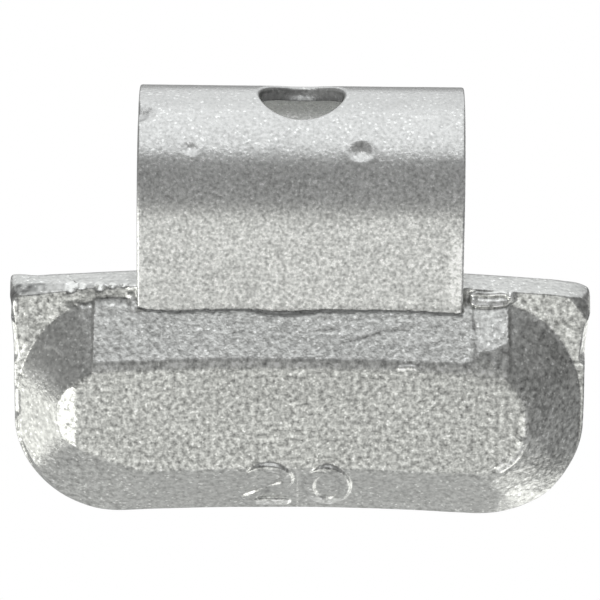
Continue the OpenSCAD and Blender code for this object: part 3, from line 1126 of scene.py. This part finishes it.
# Each panel's name, azimuth, elevation, distance, width, height, brightness and colour;
# azimuth 0 is towards the camera, and grows to the right
PANELS = [
    ("top_panel", 0, 86, 420, 400, 470, 1.0, COOL),
    ("back_panel", 180, 40, 420, 640, 410, 0.86, COOL),
    ("front_low_panel", -6, -40, 230, 230, 190, 0.4, WARM),
    ("front_panel", -6, -28, 230, 230, 190, 0.31, WARM),
    ("left_front_panel", -44, -22, 230, 100, 120, 3.0, WARM),
    ("left_low_panel", -90, -28, 230, 130, 120, 1.5, WARM),
    ("right_back_panel", 115, -60, 230, 130, 110, 1.5, WARM),
    ("right_edge_panel", 145, -20, 230, 60, 90, 1.5, WARM),
    ("under_panel", 180, -88, 240, 160, 160, 0.08, WARM),
]

# The camera, from the photograph's own frame of 600 by 600 pixels
FRAME_PX = 600
PX_PER_MM = 16.15
HOOK_TOP_PX = 86
VIEW_DISTANCE = 330.0
VIEW_ELEVATION = math.radians(23)
VIEW_ROLL = math.radians(0.55)
CLIP_START = 0.01
centre_up = STRIP_OUT - (FRAME_PX / 2 - HOOK_TOP_PX) / PX_PER_MM
TARGET = Vector((0, math.sin(VIEW_ELEVATION) * centre_up, math.cos(VIEW_ELEVATION) * centre_up)) * MM

# Half-size and height of the floor, in metres
FLOOR_HALF = 2.0
FLOOR_Z = -0.26


def light_world():
    """Even studio surround, plain white where the camera sees it."""
    world = bpy.data.worlds.new("studio")
    bpy.context.scene.world = world
    world.use_nodes = True
    tree = world.node_tree
    tree.nodes.clear()
    out = tree.nodes.new("ShaderNodeOutputWorld")
    path = tree.nodes.new("ShaderNodeLightPath")
    mix = tree.nodes.new("ShaderNodeMixShader")
    tree.links.new(path.outputs["Is Camera Ray"], mix.inputs[0])
    for place, strength in ((1, SURROUND), (2, 1.0)):
        background = tree.nodes.new("ShaderNodeBackground")
        background.inputs["Color"].default_value = (1, 1, 1, 1)
        background.inputs["Strength"].default_value = strength
        tree.links.new(background.outputs[0], mix.inputs[place])
    tree.links.new(mix.outputs[0], out.inputs[0])


def area_light(name, azimuth, elevation, distance, width, height, brightness, tint):
    """A soft panel that faces the weight."""
    light = bpy.data.lights.new(name, "AREA")
    light.shape = "RECTANGLE"
    light.size, light.size_y = width * MM, height * MM
    light.energy = brightness * math.pi * light.size * light.size_y
    light.color = tint
    obj = bpy.data.objects.new(name, light)
    bpy.context.scene.collection.objects.link(obj)
    a, e = math.radians(azimuth), math.radians(elevation)
    way = Vector((math.sin(a) * math.cos(e), -math.cos(a) * math.cos(e), math.sin(e)))
    obj.location = TARGET + way * distance * MM
    obj.rotation_euler = (-way).to_track_quat("-Z", "Y").to_euler()


def add_camera():
    """The photograph's camera, above the front and turned a little."""
    data = bpy.data.cameras.new("camera")
    data.sensor_fit = "HORIZONTAL"
    data.angle = 2 * math.atan(FRAME_PX / 2 / PX_PER_MM / VIEW_DISTANCE)
    data.clip_start = CLIP_START
    obj = bpy.data.objects.new("camera", data)
    bpy.context.scene.collection.objects.link(obj)
    way = Vector((0, -math.cos(VIEW_ELEVATION), math.sin(VIEW_ELEVATION)))
    obj.location = TARGET + way * VIEW_DISTANCE * MM
    aim = (-way).to_track_quat("-Z", "Y").to_matrix().to_4x4()
    roll = Matrix.Rotation(VIEW_ROLL, 4, "Z")
    obj.rotation_euler = (aim @ roll).to_euler()
    bpy.context.scene.camera = obj


def add_floor():
    """A wide floor well below the weight."""
    half, low = FLOOR_HALF, FLOOR_Z
    mesh = bpy.data.meshes.new("floor")
    corners = [(-half, -half, low), (half, -half, low), (half, half, low), (-half, half, low)]
    mesh.from_pydata(corners, [], [(0, 1, 2, 3)])
    floor = bpy.data.objects.new("floor", mesh)
    bpy.context.scene.collection.objects.link(floor)
    floor.data.materials.append(floor_material())


def dress(piece, node, material):
    """Give a piece its material, hang it on the root body, and hide the CAD part it stands in for."""
    piece.data.materials.append(material)
    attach(piece, "root")
    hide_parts(node)


dress(build_casting(), "weight_body", flake_paint("cast_paint", **CAST_PAINT))
dress(build_clip(), "clip", flake_paint("clip_paint", **CLIP_PAINT))

add_floor()
light_world()
for panel in PANELS:
    area_light(*panel)
add_camera()

bpy.context.scene.view_settings.view_transform = "Standard"
